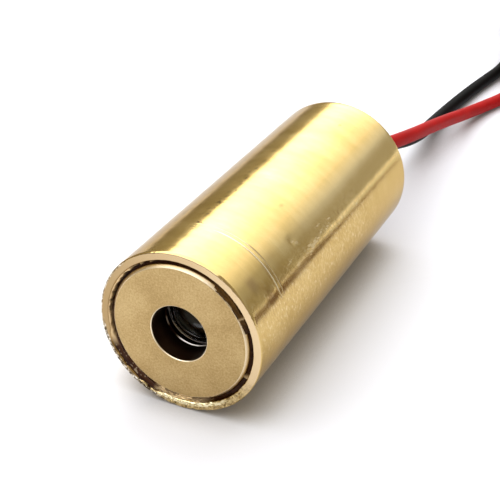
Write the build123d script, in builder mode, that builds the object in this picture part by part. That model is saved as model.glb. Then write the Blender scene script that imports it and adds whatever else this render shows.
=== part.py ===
"""Laser diode module: a brass barrel with a fixed lens cell, a canned laser
diode, its driver board and two flying leads, lying on its side.

Units are millimetres. +Y runs along the barrel from the beam aperture to the
leads, +Z is up, and the origin is on the floor under the middle of the barrel.
"""

import os
from math import degrees, pi, radians, tan

from build123d import *

os.makedirs("parts", exist_ok=True)

# Barrel
barrel_length = 14.0
barrel_diameter = 6.0
barrel_wall = 0.30
barrel_edge_break = 0.05

# Fits, all measured on the radius
slide_fit = 0.02

# Lens cell
cell_length = 4.4
cell_neck_length = 0.7
cell_neck_gap = 0.16
cell_edge_chamfer = 0.10
aperture_diameter = 2.07
aperture_length = 1.00
aperture_edge_break = 0.03
lens_relief_depth = 0.66
cell_wall = 0.76

# Adhesive in the gap round the cell's neck
adhesive_recess = 0.11
adhesive_hollow_depth = 0.16
adhesive_hollows = [(58, 60), (151, 47), (252, 10), (278, 22), (322, 50)]

# Collimating lens
lens_edge_thickness = 0.80
front_seat_width = 0.40
front_optic_sag = 0.30
rear_seat_width = 0.60
rear_optic_sag = 0.34
lip_inset = 0.46
lip_width = 0.12
lip_distance = 1.335
lip_root = 0.26

# Lens retainer
retainer_length = 0.70
retainer_width = 0.55
retainer_slot_width = 0.45
retainer_slot_depth = 0.28

# Diode
header_thickness = 1.0
header_distance = 6.3
header_notch_width = 0.40
header_notch_depth = 0.22
cap_height = 1.30
cap_wall = 0.12
cap_edge_chamfer = 0.10
cap_flange_inset = 0.30
cap_flange_width = 0.25
cap_flange_thickness = 0.15
cap_front_rim = 0.63
window_thickness = 0.18
window_edge_gap = 0.15
submount_width = 0.50
submount_height = 0.60
submount_length = 0.85
chip_width = 0.25
chip_thickness = 0.10
chip_length = 0.30
photodiode_size = 0.45
photodiode_thickness = 0.14
photodiode_lift = 0.08
pin_diameter = 0.40
pin_spread = 0.60
pin_rise = 0.45
pin_stickout = 0.20
pin_tail = 1.75
seal_diameter = 0.68

# Holder that carries the diode in the barrel
holder_length = 2.0
holder_shoulder = 0.70
holder_wall = 0.76
holder_ledge = 0.20
holder_edge_chamfer = 0.10

# Driver board
board_distance = 8.0
board_length = 4.4
board_side_gap = 0.30
board_thickness = 0.80
chip_part_length = 1.60
chip_part_width = 0.80
resistor_height = 0.45
capacitor_height = 0.70
termination_length = 0.30
termination_thickness = 0.03
chip_part_spread = 1.10
chip_part_distance = 10.0
transistor_length = 2.90
transistor_width = 1.30
transistor_height = 0.95
transistor_lift = 0.08
transistor_bevel = 0.14
transistor_leg_width = 0.40
transistor_leg_reach = 0.50
transistor_leg_thickness = 0.13
transistor_leg_pitch = 0.95
solder_film = 0.03
solder_radius = 0.36
solder_height = 0.50
lead_solder_radius = 0.32
lead_solder_height = 0.39
solder_top_share = 0.5

# Potting that closes the rear end
potting_length = 1.30
potting_dish = 0.12

# Leads
lead_diameter = 0.65
lead_spread = 0.60
core_diameter = 0.30
core_length = 1.10
tip_length = 2.50
coil_radius = 3.28
coil_slack = 0.01
coil_tail = 2.40
top_tail = 1.20
tail_sink = 0.02
cut_margin = 0.10
arc_share = 0.45

# Route of each lead from the potting to its coil
red_route = [
    (0.60, 5.40, 3.40),
    (0.60, 8.00, 3.40),
    (1.29, 12.20, 2.59),
    (1.49, 17.20, 1.465),
    (1.96, 22.20, 0.335),
    (3.50, 26.20, 0.335),
    (1.95, 29.60, 1.35),
    (1.015, 33.164, 2.345),
    (0.538, 35.618, 2.345),
]
black_route = [
    (-0.60, 5.40, 3.40),
    (-0.60, 7.70, 3.40),
    (0.65, 11.40, 2.45),
    (0.73, 15.90, 1.00),
    (0.53, 20.90, 0.335),
    (1.03, 25.40, 0.335),
    (1.90, 30.35, 0.335),
    (0.996, 33.262, 1.675),
    (0.538, 35.618, 1.675),
]

# Coils: black winds down to the floor, red winds up on top of it and ends on its own top
coil_layers = 3
black_turns = 2.6
red_turns = 3.05

# Places that follow from the sizes above
barrel_radius = barrel_diameter / 2
barrel_bore = barrel_radius - barrel_wall
front_y = -barrel_length / 2
axis_z = barrel_radius
turning_plane = Plane.XY.offset(axis_z)
turning_axis = Axis((0, 0, axis_z), (0, 1, 0))

cell_land = barrel_bore - slide_fit
cell_neck = barrel_bore - cell_neck_gap
cell_rear_y = front_y + cell_length
neck_end_y = front_y + cell_neck_length
aperture_radius = aperture_diameter / 2
relief_y = front_y + aperture_length
lens_seat_y = relief_y + lens_relief_depth
lens_pocket = cell_land - cell_wall
lens_radius = lens_pocket - slide_fit
front_optic = lens_radius - front_seat_width
rear_optic = lens_radius - rear_seat_width
lip_inner = front_optic - lip_inset
lip_y = front_y + lip_distance
lens_back_y = lens_seat_y + lens_edge_thickness
retainer_rear_y = lens_back_y + retainer_length

header_y = front_y + header_distance
header_rear_y = header_y + header_thickness
holder_land = barrel_bore - slide_fit
holder_seat = holder_land - holder_wall
header_radius = holder_seat - slide_fit
cap_front_y = header_y - cap_height
cap_flange = header_radius - cap_flange_inset
cap_radius = cap_flange - cap_flange_width
cap_bore = cap_radius - cap_wall
cap_opening = cap_bore - cap_front_rim
window_y = cap_front_y + cap_wall
pin_radius = pin_diameter / 2
pin_front_y = header_y - pin_stickout
pin_rear_y = header_rear_y + pin_tail
upper_pin_z = axis_z + pin_rise
board_top_z = upper_pin_z - pin_radius - solder_film
board_bottom_z = board_top_z - board_thickness
ground_pin_z = board_bottom_z - pin_radius - solder_film
upper_pins = [(-pin_spread, upper_pin_z), (pin_spread, upper_pin_z)]
ground_pin = (0, ground_pin_z)

holder_y = header_y - holder_shoulder
holder_bore = holder_seat - holder_ledge

board_width = 2 * (barrel_bore - board_side_gap)
board_y = front_y + board_distance
board_rear_y = board_y + board_length
solder_y = (board_y + pin_rear_y) / 2
potting_rear_y = board_rear_y + potting_length

lead_radius = lead_diameter / 2
core_radius = core_diameter / 2
lead_z = board_top_z + solder_film + core_radius
lead_places = [(lead_spread, lead_z), (-lead_spread, lead_z)]
coil_pitch = lead_diameter + 2 * coil_slack


def across(y, centre_z=axis_z):
    """Plane across the barrel at y, its local x along +X and its local y along +Z."""
    return Plane(origin=(0, y, centre_z), x_dir=(1, 0, 0), z_dir=(0, -1, 0))


def finish(builder, name):
    """Label a finished piece and write its file."""
    builder.part.label = name
    export_step(builder.part, f"parts/{name}.step")


# Barrel: a drawn tube with both rims lightly broken
with BuildPart() as housing_tube:
    with BuildSketch(across(front_y)):
        Circle(barrel_radius)
        Circle(barrel_bore, mode=Mode.SUBTRACT)
    extrude(amount=-barrel_length)
    chamfer(housing_tube.edges().filter_by(GeomType.CIRCLE), barrel_edge_break)
finish(housing_tube, "housing_tube")

# Lens cell: a turned cup whose front wall is the beam aperture
with BuildPart() as lens_cell:
    with BuildSketch(turning_plane):
        with BuildLine():
            Polyline(
                (aperture_radius + aperture_edge_break, front_y),
                (cell_neck - cell_edge_chamfer, front_y),
                (cell_neck, front_y + cell_edge_chamfer),
                (cell_neck, neck_end_y),
                (cell_land, neck_end_y),
                (cell_land, cell_rear_y),
                (lens_pocket, cell_rear_y),
                (lens_pocket, lens_seat_y),
                (front_optic + slide_fit, lens_seat_y),
                (front_optic + slide_fit, relief_y),
                (aperture_radius, relief_y),
                (aperture_radius, front_y + aperture_edge_break),
                close=True,
            )
        make_face()
    revolve(axis=turning_axis)
finish(lens_cell, "lens_cell")

# Adhesive: a ring that fills the gap, washed out to a deeper level between its patches
with BuildPart() as front_adhesive:
    with BuildSketch(across(front_y + adhesive_recess)):
        Circle(barrel_bore)
        Circle(cell_neck, mode=Mode.SUBTRACT)
    extrude(amount=adhesive_recess - cell_neck_length)
    for start, size in adhesive_hollows:
        with BuildSketch(across(front_y + adhesive_recess)):
            with BuildLine():
                inner = CenterArc((0, 0), cell_neck - cut_margin, start, size)
                outer = CenterArc((0, 0), barrel_bore + cut_margin, start, size)
                Line(inner @ 0, outer @ 0)
                Line(inner @ 1, outer @ 1)
            make_face()
        extrude(amount=-adhesive_hollow_depth, mode=Mode.SUBTRACT)
finish(front_adhesive, "front_adhesive")

# Collimating lens: two domes on a flat flange, a low moulded lip round the front dome's middle
with BuildPart() as collimating_lens:
    with BuildSketch(turning_plane):
        with BuildLine():
            TangentArc(
                (0, lens_seat_y - front_optic_sag),
                (front_optic, lens_seat_y),
                tangent=(1, 0),
            )
            Polyline(
                (front_optic, lens_seat_y),
                (lens_radius, lens_seat_y),
                (lens_radius, lens_back_y),
                (rear_optic, lens_back_y),
            )
            TangentArc(
                (0, lens_back_y + rear_optic_sag),
                (rear_optic, lens_back_y),
                tangent=(1, 0),
            )
            Line((0, lens_back_y + rear_optic_sag), (0, lens_seat_y - front_optic_sag))
        make_face()
    revolve(axis=turning_axis)
    with BuildSketch(across(lip_y)):
        Circle(lip_inner + lip_width)
        Circle(lip_inner, mode=Mode.SUBTRACT)
    extrude(amount=-lip_root)
finish(collimating_lens, "collimating_lens")

# Retainer: a ring behind the lens, with two slots for a spanner
with BuildPart() as lens_retainer:
    with BuildSketch(across(lens_back_y)):
        Circle(lens_pocket - slide_fit / 2)
        Circle(lens_radius - retainer_width, mode=Mode.SUBTRACT)
    extrude(amount=-retainer_length)
    with BuildSketch(across(retainer_rear_y)):
        Rectangle(2 * lens_pocket + cut_margin, retainer_slot_width)
    extrude(amount=retainer_slot_depth, mode=Mode.SUBTRACT)
finish(lens_retainer, "lens_retainer")

# Diode holder: a turned ring, the diode's rim seated on its inner shoulder
with BuildPart() as diode_holder:
    with BuildSketch(across(holder_y)):
        Circle(holder_land)
    extrude(amount=-holder_length)
    chamfer(diode_holder.edges().filter_by(GeomType.CIRCLE), holder_edge_chamfer)
    with BuildSketch(across(holder_y)):
        Circle(holder_bore)
    extrude(amount=-holder_length, mode=Mode.SUBTRACT)
    with BuildSketch(across(header_y)):
        Circle(holder_seat)
    extrude(amount=-holder_length, mode=Mode.SUBTRACT)
finish(diode_holder, "diode_holder")

# Diode stem: a disc with two V notches, one square notch and two pin holes
with BuildPart() as diode_header:
    with BuildSketch(across(header_y)):
        Circle(header_radius)
        with Locations((header_radius, 0), (-header_radius, 0)):
            Polygon(
                (header_notch_depth, 0),
                (0, header_notch_depth),
                (-header_notch_depth, 0),
                (0, -header_notch_depth),
                mode=Mode.SUBTRACT,
            )
        with Locations((0, -header_radius)):
            Rectangle(header_notch_width, 2 * header_notch_depth, mode=Mode.SUBTRACT)
    extrude(amount=-header_thickness)
    with BuildSketch(across(header_y, 0)):
        with Locations(*upper_pins):
            Circle(seal_diameter / 2)
    extrude(amount=-header_thickness, mode=Mode.SUBTRACT)
finish(diode_header, "diode_header")

# Glass seals in the stem's two pin holes
with BuildPart() as pin_seals:
    with BuildSketch(across(header_y, 0)):
        with Locations(*upper_pins):
            Circle(seal_diameter / 2)
            Circle(pin_radius, mode=Mode.SUBTRACT)
    extrude(amount=-header_thickness)
finish(pin_seals, "pin_seals")

# Pins: two sealed ones through the stem, and the ground pin on its back
with BuildPart() as header_pins:
    with BuildSketch(across(pin_front_y, 0)):
        with Locations(*upper_pins):
            Circle(pin_radius)
    extrude(amount=pin_front_y - pin_rear_y)
    with BuildSketch(across(header_rear_y, 0)):
        with Locations(ground_pin):
            Circle(pin_radius)
    extrude(amount=header_rear_y - pin_rear_y)
finish(header_pins, "header_pins")

# Can: a drawn cap with a welded flange and an opening for the beam
with BuildPart() as diode_cap:
    with BuildSketch(turning_plane):
        with BuildLine():
            Polyline(
                (cap_opening, cap_front_y),
                (cap_radius - cap_edge_chamfer, cap_front_y),
                (cap_radius, cap_front_y + cap_edge_chamfer),
                (cap_radius, header_y - cap_flange_thickness),
                (cap_flange, header_y - cap_flange_thickness),
                (cap_flange, header_y),
                (cap_bore, header_y),
                (cap_bore, window_y),
                (cap_opening, window_y),
                close=True,
            )
        make_face()
    revolve(axis=turning_axis)
finish(diode_cap, "diode_cap")

# Window: a glass disc fused under the can's opening
with BuildPart() as cap_window:
    with BuildSketch(across(window_y)):
        Circle(cap_bore - window_edge_gap)
    extrude(amount=-window_thickness)
finish(cap_window, "cap_window")

# Submount: a block on the stem, the chip on its upper face at the beam axis
submount_top = -chip_thickness / 2
with BuildPart() as laser_submount:
    with BuildSketch(across(header_y)):
        with Locations((0, submount_top)):
            Rectangle(submount_width, submount_height, align=(Align.CENTER, Align.MAX))
    extrude(amount=submount_length)
finish(laser_submount, "laser_submount")

with BuildPart() as laser_chip:
    with BuildSketch(across(header_y - submount_length)):
        Rectangle(chip_width, chip_thickness)
    extrude(amount=-chip_length)
finish(laser_chip, "laser_chip")

with BuildPart() as monitor_photodiode:
    with BuildSketch(across(header_y)):
        with Locations((0, photodiode_lift)):
            Rectangle(photodiode_size, photodiode_size, align=(Align.CENTER, Align.MIN))
    extrude(amount=photodiode_thickness)
finish(monitor_photodiode, "monitor_photodiode")

# Driver board: its front edge sits between the pins, its rear edge on the potting
with BuildPart() as driver_board:
    with BuildSketch(Plane.XY.offset(board_bottom_z)):
        with Locations((0, board_y)):
            Rectangle(board_width, board_length, align=(Align.CENTER, Align.MIN))
    extrude(amount=board_thickness)
finish(driver_board, "driver_board")

# Resistor and capacitor: ceramic bodies with thicker plated ends
chip_part_y = front_y + chip_part_distance
for name, side, height in (
    ("driver_resistor", -1, resistor_height),
    ("driver_capacitor", 1, capacitor_height),
):
    with BuildPart() as chip_part:
        with BuildSketch(Plane.XY.offset(board_top_z)):
            with Locations((side * chip_part_spread, chip_part_y)):
                Rectangle(chip_part_width, chip_part_length)
        extrude(amount=height)
        with BuildSketch(Plane.XY.offset(board_top_z)):
            end_offset = (chip_part_length - termination_length) / 2
            with Locations(
                (side * chip_part_spread, chip_part_y - end_offset),
                (side * chip_part_spread, chip_part_y + end_offset),
            ):
                Rectangle(chip_part_width + 2 * termination_thickness, termination_length)
        extrude(amount=height + termination_thickness)
    finish(chip_part, name)

# Transistor under the board: a bevelled body on three bent legs
transistor_y = chip_part_y
body_top_z = board_bottom_z - transistor_lift
body_middle_z = body_top_z - transistor_height / 2
leg_top_z = body_middle_z + transistor_leg_thickness
with BuildPart() as drive_transistor:
    with BuildSketch(Plane.XY.offset(body_middle_z)):
        with Locations((0, transistor_y)):
            Rectangle(transistor_length, transistor_width)
    extrude(amount=transistor_height / 2, both=True)
    chamfer(
        drive_transistor.edges().group_by(Axis.Z)[0],
        length=transistor_bevel * 2,
        length2=transistor_bevel,
    )
    leg_places = [
        (-transistor_leg_pitch, -1),
        (transistor_leg_pitch, -1),
        (0, 1),
    ]
    for leg_x, direction in leg_places:
        root = transistor_y + direction * (transistor_width / 2 - transistor_bevel)
        knee = transistor_y + direction * (transistor_width / 2 + transistor_leg_reach / 2)
        toe = transistor_y + direction * (transistor_width / 2 + transistor_leg_reach)
        inner_knee = knee - direction * transistor_leg_thickness
        with BuildSketch(Plane.YZ.offset(leg_x)):
            with BuildLine():
                Polyline(
                    (root, body_middle_z),
                    (knee, body_middle_z),
                    (knee, board_bottom_z - transistor_leg_thickness),
                    (toe, board_bottom_z - transistor_leg_thickness),
                    (toe, board_bottom_z),
                    (inner_knee, board_bottom_z),
                    (inner_knee, leg_top_z),
                    (root, leg_top_z),
                    close=True,
                )
            make_face()
        extrude(amount=transistor_leg_width / 2, both=True)
finish(drive_transistor, "drive_transistor")

# Solder: a tapered bead over each pin, a thin film of it between the pin and the board
solder_top = solder_radius * solder_top_share
with BuildPart() as pin_solder:
    with Locations(*[(x, solder_y, board_top_z) for x, z in upper_pins]):
        Cone(solder_radius, solder_top, solder_height, align=(Align.CENTER, Align.CENTER, Align.MIN))
    with Locations((0, solder_y, board_bottom_z)):
        Cone(solder_top, solder_radius, solder_height, align=(Align.CENTER, Align.CENTER, Align.MAX))
    add(header_pins.part, mode=Mode.SUBTRACT)
finish(pin_solder, "pin_solder")

# Potting: a plug with a dished rear face and a hole for each lead
with BuildPart() as rear_potting:
    with BuildSketch(turning_plane):
        with BuildLine():
            Polyline(
                (0, potting_rear_y - potting_dish),
                (0, board_rear_y),
                (barrel_bore, board_rear_y),
                (barrel_bore, potting_rear_y),
                close=True,
            )
        make_face()
    revolve(axis=turning_axis)
    with BuildSketch(across(board_rear_y, 0)):
        with Locations(*lead_places):
            Circle(lead_radius)
    extrude(amount=-potting_length, mode=Mode.SUBTRACT)
finish(rear_potting, "rear_potting")


def corner_radii(route):
    """Largest arc at each corner: a share of its shorter run over the tangent of half the turn."""
    points = [Vector(*point) for point in route]
    runs = [after - before for before, after in zip(points, points[1:])]
    radii = []
    for before, after in zip(runs, runs[1:]):
        half_turn = radians(before.get_angle(after) / 2)
        radii.append(arc_share * min(before.length, after.length) / tan(half_turn))
    return radii


def coil_frame(route):
    """End of the route, its heading there, and the coil's start and centre."""
    end = Vector(*route[-1])
    heading = (end - Vector(*route[-2])).normalized()
    right = Vector(heading.Y, -heading.X, 0)
    start = end + heading * coil_tail
    return end, heading, start, start + right * coil_radius


def after_turns(route, turns, leaving_z):
    """Where the wire leaves its coil at a given height, and its heading there."""
    end, heading, start, centre = coil_frame(route)
    angle = -360 * turns
    leaving = centre + (start - centre).rotate(Axis.Z, angle)
    return Vector(leaving.X, leaving.Y, leaving_z), heading.rotate(Axis.Z, angle)


# Leads: each one a routed tube, a coil, an inner core and a tinned tip
coil_foot = 0
for colour, route, turns, place, ends_on_top in (
    ("black", black_route, black_turns, lead_places[1], False),
    ("red", red_route, red_turns, lead_places[0], True),
):
    end, heading, start, centre = coil_frame(route)
    coil_axis = Axis((centre.X, centre.Y, 0), (0, 0, -1))
    if ends_on_top:
        coil_top = end.Z + (coil_layers - 1) * coil_pitch + lead_radius + coil_slack
        leaving_z = coil_top + lead_radius - tail_sink
    else:
        coil_top = end.Z + lead_radius + coil_slack
        leaving_z = lead_radius + coil_slack
    leaving, tail_heading = after_turns(route, turns, leaving_z)
    if ends_on_top:
        top_turn = top_tail / (2 * pi * coil_radius)
        tail_end, tip_heading = after_turns(route, turns + top_turn, leaving_z)
        last_tail = top_tail
    else:
        tail_end = leaving + tail_heading * coil_tail
        tip_heading = tail_heading
        last_tail = coil_tail
    radii = corner_radii(route)

    with BuildPart() as lead:
        with BuildLine():
            path = FilletPolyline(*route, radius=radii)
        with BuildSketch(Plane(origin=path @ 0, z_dir=path % 0)):
            Circle(lead_radius)
        sweep(path=path)
    finish(lead, f"{colour}_lead")

    with BuildPart() as coil:
        with BuildSketch(Plane(origin=(centre.X, centre.Y, coil_foot))):
            Circle(coil_radius + lead_radius + coil_slack)
            Circle(coil_radius - lead_radius - coil_slack, mode=Mode.SUBTRACT)
        extrude(amount=coil_top - coil_foot)
        with BuildSketch(Plane(origin=end, z_dir=heading)):
            Circle(lead_radius)
        extrude(amount=coil_tail)
        with BuildSketch(Plane(origin=leaving, z_dir=tail_heading)):
            Circle(lead_radius)
        if ends_on_top:
            revolve(axis=coil_axis, revolution_arc=degrees(top_tail / coil_radius))
        else:
            extrude(amount=coil_tail)
    finish(coil, f"{colour}_lead_coil")
    coil_foot = coil_top

    with BuildPart() as core:
        with BuildSketch(across(board_rear_y, 0)):
            with Locations(place):
                Circle(core_radius)
        extrude(amount=core_length)
    finish(core, f"{colour}_lead_core")

    with BuildPart() as tip:
        with BuildSketch(Plane(origin=tail_end, z_dir=tip_heading)):
            Circle(core_radius)
        if ends_on_top:
            revolve(axis=coil_axis, revolution_arc=degrees(tip_length / coil_radius))
        else:
            extrude(amount=tip_length)
    finish(tip, f"{colour}_lead_tip")

    swept = path.length * pi * lead_radius**2
    coiled = 2 * pi * coil_radius * turns
    whole = path.length + coil_tail + coiled + last_tail + tip_length
    print(colour, "radii", [round(radius, 2) for radius in radii])
    print(colour, "volume over section times length", round(lead.part.volume / swept, 4))
    print(colour, "routed", round(path.length, 2), "whole", round(whole, 2))

# Solder where the two cores lie on the board
with BuildPart() as lead_solder:
    with Locations(*[(x, board_rear_y - core_length / 2, board_top_z) for x, z in lead_places]):
        Cone(
            lead_solder_radius,
            lead_solder_radius * solder_top_share,
            lead_solder_height,
            align=(Align.CENTER, Align.CENTER, Align.MIN),
        )
    with BuildSketch(across(board_rear_y, 0)):
        with Locations(*lead_places):
            Circle(core_radius)
    extrude(amount=core_length, mode=Mode.SUBTRACT)
finish(lead_solder, "lead_solder")
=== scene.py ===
"""Looks of the laser diode module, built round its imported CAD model.

Lengths are metres, but the profiles of the barrel, cell, adhesive and lens are millimetres:
a radius from the barrel's axis and a depth behind its front plane. +Y runs along the barrel
from the beam aperture to the leads, +Z is up. Angles round the barrel are counted from +X
towards +Z.
"""

from math import cos, pi, sin

import bpy
import numpy as np
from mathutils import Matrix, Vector


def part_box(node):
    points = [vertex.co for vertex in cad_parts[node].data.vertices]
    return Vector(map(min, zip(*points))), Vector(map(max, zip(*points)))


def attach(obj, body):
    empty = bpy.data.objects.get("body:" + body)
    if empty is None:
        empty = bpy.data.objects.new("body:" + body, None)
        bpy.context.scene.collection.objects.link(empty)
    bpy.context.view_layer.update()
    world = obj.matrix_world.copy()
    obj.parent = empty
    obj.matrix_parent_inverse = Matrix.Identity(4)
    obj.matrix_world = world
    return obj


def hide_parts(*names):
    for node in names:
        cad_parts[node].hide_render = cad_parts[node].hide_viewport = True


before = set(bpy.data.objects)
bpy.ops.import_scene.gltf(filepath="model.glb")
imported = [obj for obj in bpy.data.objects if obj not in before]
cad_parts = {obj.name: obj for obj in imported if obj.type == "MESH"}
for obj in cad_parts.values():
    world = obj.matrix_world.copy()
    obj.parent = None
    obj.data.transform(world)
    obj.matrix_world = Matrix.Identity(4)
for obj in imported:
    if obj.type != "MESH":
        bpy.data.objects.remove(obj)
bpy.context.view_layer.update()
millimetre = 0.001
micrometre = 0.000001

# Places read from the frame
barrel_low, barrel_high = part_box("housing_tube")
front_y = barrel_low[1]
axis_z = (barrel_high[2] + barrel_low[2]) / 2

# Camera, at the photograph's viewing angle
camera_place = Vector((15.39, -33.59, 23.57)) * millimetre
camera_heading = Vector((-0.377, 0.784, -0.494))
camera_lens = 80.76
sensor_width = 36
near_limit = 0.002
far_limit = 5

# Leads: the route of each one, in millimetres, and its coil, as in the part's source
lead_diameter = 0.65 * millimetre
core_diameter = 0.30 * millimetre
coil_radius = 3.28 * millimetre
coil_tail = 2.40 * millimetre
coil_pitch = 0.67 * millimetre
top_tail = 1.20 * millimetre
top_tail_height = 4.325 * millimetre
tip_length = 2.50 * millimetre
tip_overlap = 0.10 * millimetre
tip_rows = 64
tip_columns = 72
outer_strands = 6
strand_radius = core_diameter / 6
strand_lay = 1.7 * millimetre
points_per_turn = 20
level_share = 0.8
red_route = [
    (0.60, 5.40, 3.40),
    (0.60, 8.00, 3.40),
    (1.29, 12.20, 2.59),
    (1.49, 17.20, 1.465),
    (1.96, 22.20, 0.335),
    (3.50, 26.20, 0.335),
    (1.95, 29.60, 1.35),
    (1.015, 33.164, 2.345),
    (0.538, 35.618, 2.345),
]
black_route = [
    (-0.60, 5.40, 3.40),
    (-0.60, 7.70, 3.40),
    (0.65, 11.40, 2.45),
    (0.73, 15.90, 1.00),
    (0.53, 20.90, 0.335),
    (1.03, 25.40, 0.335),
    (1.90, 30.35, 0.335),
    (0.996, 33.262, 1.675),
    (0.538, 35.618, 1.675),
]
black_turns = 2.6
red_turns = 3.05
black_length = 0.092
red_length = 0.1003


def set_camera():
    """Camera with no roll: it looks along its heading, world up stays up."""
    data = bpy.data.cameras.new("photo_camera")
    data.lens = camera_lens
    data.sensor_width = sensor_width
    data.clip_start = near_limit
    data.clip_end = far_limit
    camera = bpy.data.objects.new("photo_camera", data)
    camera.location = camera_place
    camera.rotation_euler = camera_heading.to_track_quat("-Z", "Y").to_euler()
    bpy.context.scene.collection.objects.link(camera)
    bpy.context.scene.camera = camera


def grid_piece(name, points, closed_u=False, closed_v=False):
    """Mesh over a grid of points, shape (rows, columns, 3): each cell is one quad.

    Rows run along u and columns along v. A closed direction joins its last line to its first.
    """
    rows, columns = points.shape[:2]
    u = np.arange(rows if closed_u else rows - 1)
    v = np.arange(columns if closed_v else columns - 1)
    u0, v0 = np.meshgrid(u, v, indexing="ij")
    u1 = (u0 + 1) % rows
    v1 = (v0 + 1) % columns
    corners = [u0 * columns + v0, u0 * columns + v1, u1 * columns + v1, u1 * columns + v0]
    faces = np.stack(corners, axis=-1).reshape(-1, 4)
    mesh = bpy.data.meshes.new(name)
    mesh.vertices.add(rows * columns)
    mesh.vertices.foreach_set("co", points.astype(np.float32).ravel())
    mesh.loops.add(faces.size)
    mesh.loops.foreach_set("vertex_index", faces.astype(np.int32).ravel())
    mesh.polygons.add(len(faces))
    mesh.polygons.foreach_set("loop_start", np.arange(0, faces.size, 4, dtype=np.int32))
    mesh.update(calc_edges=True)
    mesh.validate()
    mesh.polygons.foreach_set("use_smooth", np.ones(len(mesh.polygons), dtype=bool))
    piece = bpy.data.objects.new(name, mesh)
    bpy.context.scene.collection.objects.link(piece)
    return piece


def plane_card(name, low, high, height, facing_down=False):
    """Flat rectangle from low to high (x, y) at a height."""
    ys = (high[1], low[1]) if facing_down else (low[1], high[1])
    points = np.array([[(x, y, height) for y in ys] for x in (low[0], high[0])])
    return grid_piece(name, points)


def point_values(piece, name, values):
    """Store one value or one colour for each point of a piece."""
    values = np.asarray(values, dtype=np.float32)
    if values.ndim == 3:
        layer = piece.data.attributes.new(name, "FLOAT_COLOR", "POINT")
        solid = np.ones(values.shape[:2] + (1,), dtype=np.float32)
        layer.data.foreach_set("color", np.concatenate([values, solid], axis=-1).ravel())
    else:
        layer = piece.data.attributes.new(name, "FLOAT", "POINT")
        layer.data.foreach_set("value", values.ravel())


def finish_piece(piece, paint, slot, *nodes):
    """Give a piece its material and body, and hide the CAD nodes that it stands for. The slot is
    not used.
    """
    piece.data.materials.append(paint.material)
    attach(piece, "root")
    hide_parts(*nodes)


def dress(node, paint):
    """Give a CAD node that keeps its shape the paint's material."""
    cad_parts[node].material_slots[0].material = paint.material


class Nodes:
    """Short way to place and link the nodes of one material.

    Keywords that name the shader's sockets have underscores where the socket has spaces.
    """

    def __init__(self, name):
        self.material = bpy.data.materials.new(name)
        self.material.use_nodes = True
        self.tree = self.material.node_tree
        self.shader = self.tree.nodes["Principled BSDF"]
        self.output = self.tree.nodes["Material Output"]
        self.place = self.add("ShaderNodeTexCoord").outputs["Object"]

    def add(self, kind, **settings):
        node = self.tree.nodes.new(kind)
        for key, value in settings.items():
            setattr(node, key, value)
        return node

    def link(self, source, target):
        self.tree.links.new(source, target)

    def fill(self, socket, value):
        """Link a socket to another node's output, or give it a constant value."""
        if isinstance(value, bpy.types.NodeSocket):
            self.link(value, socket)
        else:
            socket.default_value = (*value, 1) if socket.type == "RGBA" else value

    def set(self, **values):
        """Constant values on the shader's own sockets."""
        for key, value in values.items():
            self.shader.inputs[key.replace("_", " ")].default_value = value

    def feed(self, **sources):
        """Outputs of other nodes into the shader's own sockets."""
        for key, source in sources.items():
            self.link(source, self.shader.inputs[key.replace("_", " ")])

    def stretched(self, scale):
        """Object coordinates multiplied by a scale for each axis."""
        mapping = self.add("ShaderNodeMapping")
        mapping.inputs["Scale"].default_value = scale
        self.link(self.place, mapping.inputs["Vector"])
        return mapping.outputs["Vector"]

    def noise(self, scale, detail=3.0, roughness=0.55, stretch=(1, 1, 1)):
        """Noise whose cells are one over scale metres across, stretched axis by axis."""
        node = self.add("ShaderNodeTexNoise")
        node.inputs["Scale"].default_value = scale
        node.inputs["Detail"].default_value = detail
        node.inputs["Roughness"].default_value = roughness
        self.link(self.stretched(stretch), node.inputs["Vector"])
        return node.outputs["Fac"]

    def ramp(self, factor, stops):
        """Colour ramp from a list of (position, colour); a number stands for a grey."""
        node = self.add("ShaderNodeValToRGB")
        elements = node.color_ramp.elements
        while len(elements) < len(stops):
            elements.new(0.5)
        for element, (position, colour) in zip(elements, stops):
            element.position = position
            shade = (colour,) * 3 if isinstance(colour, (int, float)) else colour
            element.color = (*shade, 1)
        self.link(factor, node.inputs["Fac"])
        return node.outputs["Color"]

    def mix(self, factor, first, second):
        """Colour that goes from first to second with factor; each is a socket or a colour."""
        node = self.add("ShaderNodeMix", data_type="RGBA")
        factor_socket, *_, first_socket, second_socket = node.inputs[:8]
        self.fill(factor_socket, factor)
        self.fill(first_socket, first)
        self.fill(second_socket, second)
        return node.outputs[2]

    def math(self, operation, first, second=0.0):
        node = self.add("ShaderNodeMath", operation=operation)
        self.fill(node.inputs[0], first)
        self.fill(node.inputs[1], second)
        return node.outputs[0]

    def times(self, first, second):
        return self.math("MULTIPLY", first, second)

    def blend(self, first, second, share):
        """A share of first and the rest of second, added up."""
        return self.math("ADD", self.times(first, share), self.times(second, 1 - share))

    def stored(self, name, output="Fac"):
        """A value or a colour that the piece keeps for each point."""
        return self.add("ShaderNodeAttribute", attribute_name=name).outputs[output]

    def bump(self, texture, height):
        """Relief of a height in metres from a texture that runs from 0 to 1."""
        node = self.add("ShaderNodeBump")
        node.inputs["Distance"].default_value = height
        self.link(texture, node.inputs["Height"])
        self.link(node.outputs["Normal"], self.shader.inputs["Normal"])


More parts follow.
